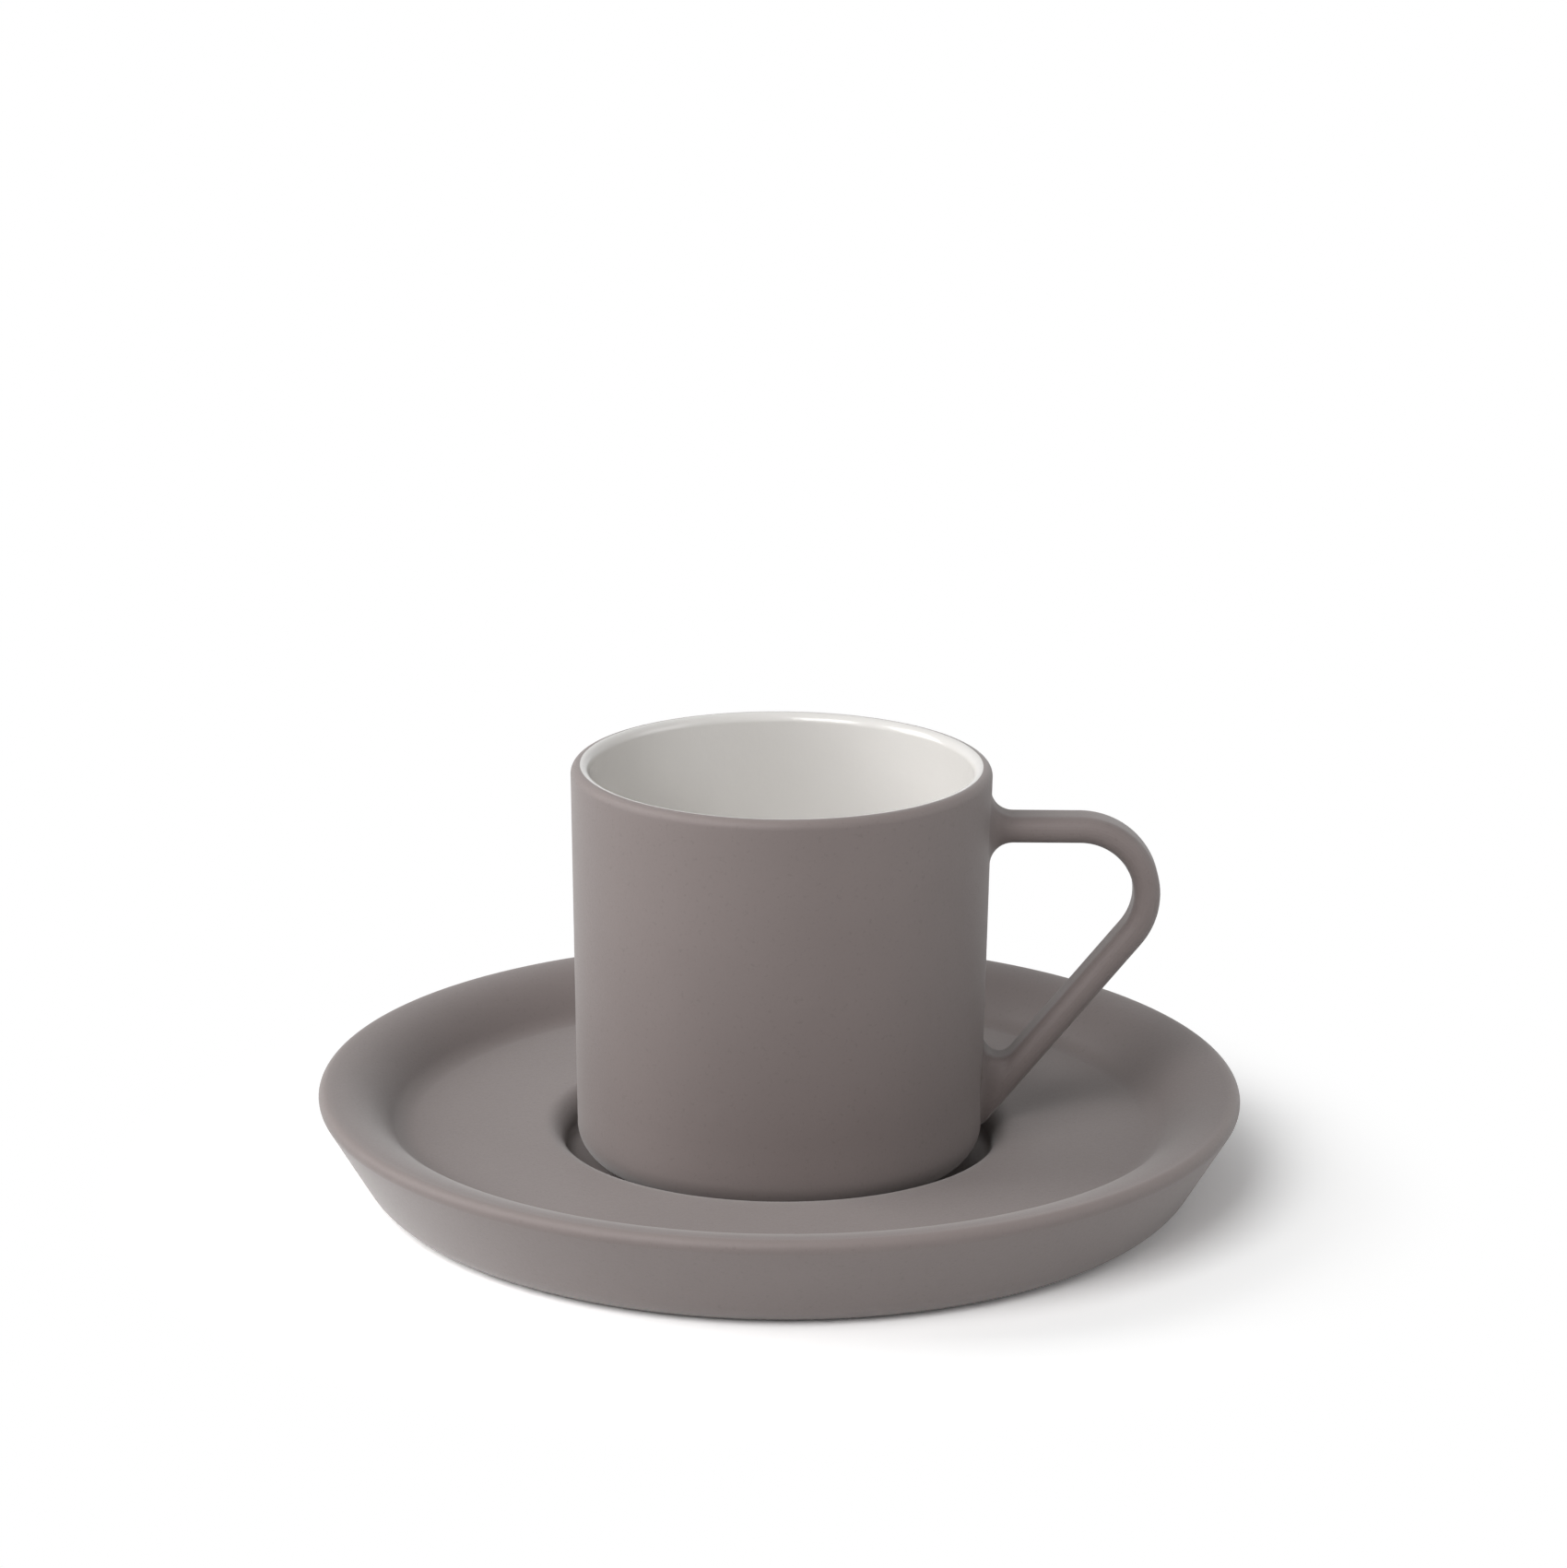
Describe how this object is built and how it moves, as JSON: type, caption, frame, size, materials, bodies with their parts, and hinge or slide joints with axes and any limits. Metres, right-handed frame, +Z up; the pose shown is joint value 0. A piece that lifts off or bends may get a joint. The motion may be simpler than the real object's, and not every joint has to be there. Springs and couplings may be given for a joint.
{
  "type": "coffee cup and saucer",
  "caption": "Small straight-sided stoneware coffee cup with an angular loop handle, white-glazed inside, standing in the well of a wide shallow saucer.",
  "frame": {"origin": "centre of the saucer's standing ring, on the table", "axes": "+Z up along the shared axis of saucer and cup, +X towards the cup's handle"},
  "size_m": [0.14, 0.14, 0.0656],
  "materials": {
    "matt_stoneware": "matt warm grey",
    "white_glaze": "glossy off-white"
  },
  "bodies": {
    "saucer": {"saucer": "matt_stoneware"},
    "cup": {"cup_body": "matt_stoneware", "cup_handle": "matt_stoneware", "cup_lining": "white_glaze"}
  },
  "joints": [
    {"name": "cup_lift", "type": "slide", "parent": "saucer", "child": "cup", "axis": [0, 0, 1], "range_m": [0, 0.08]}
  ]
}
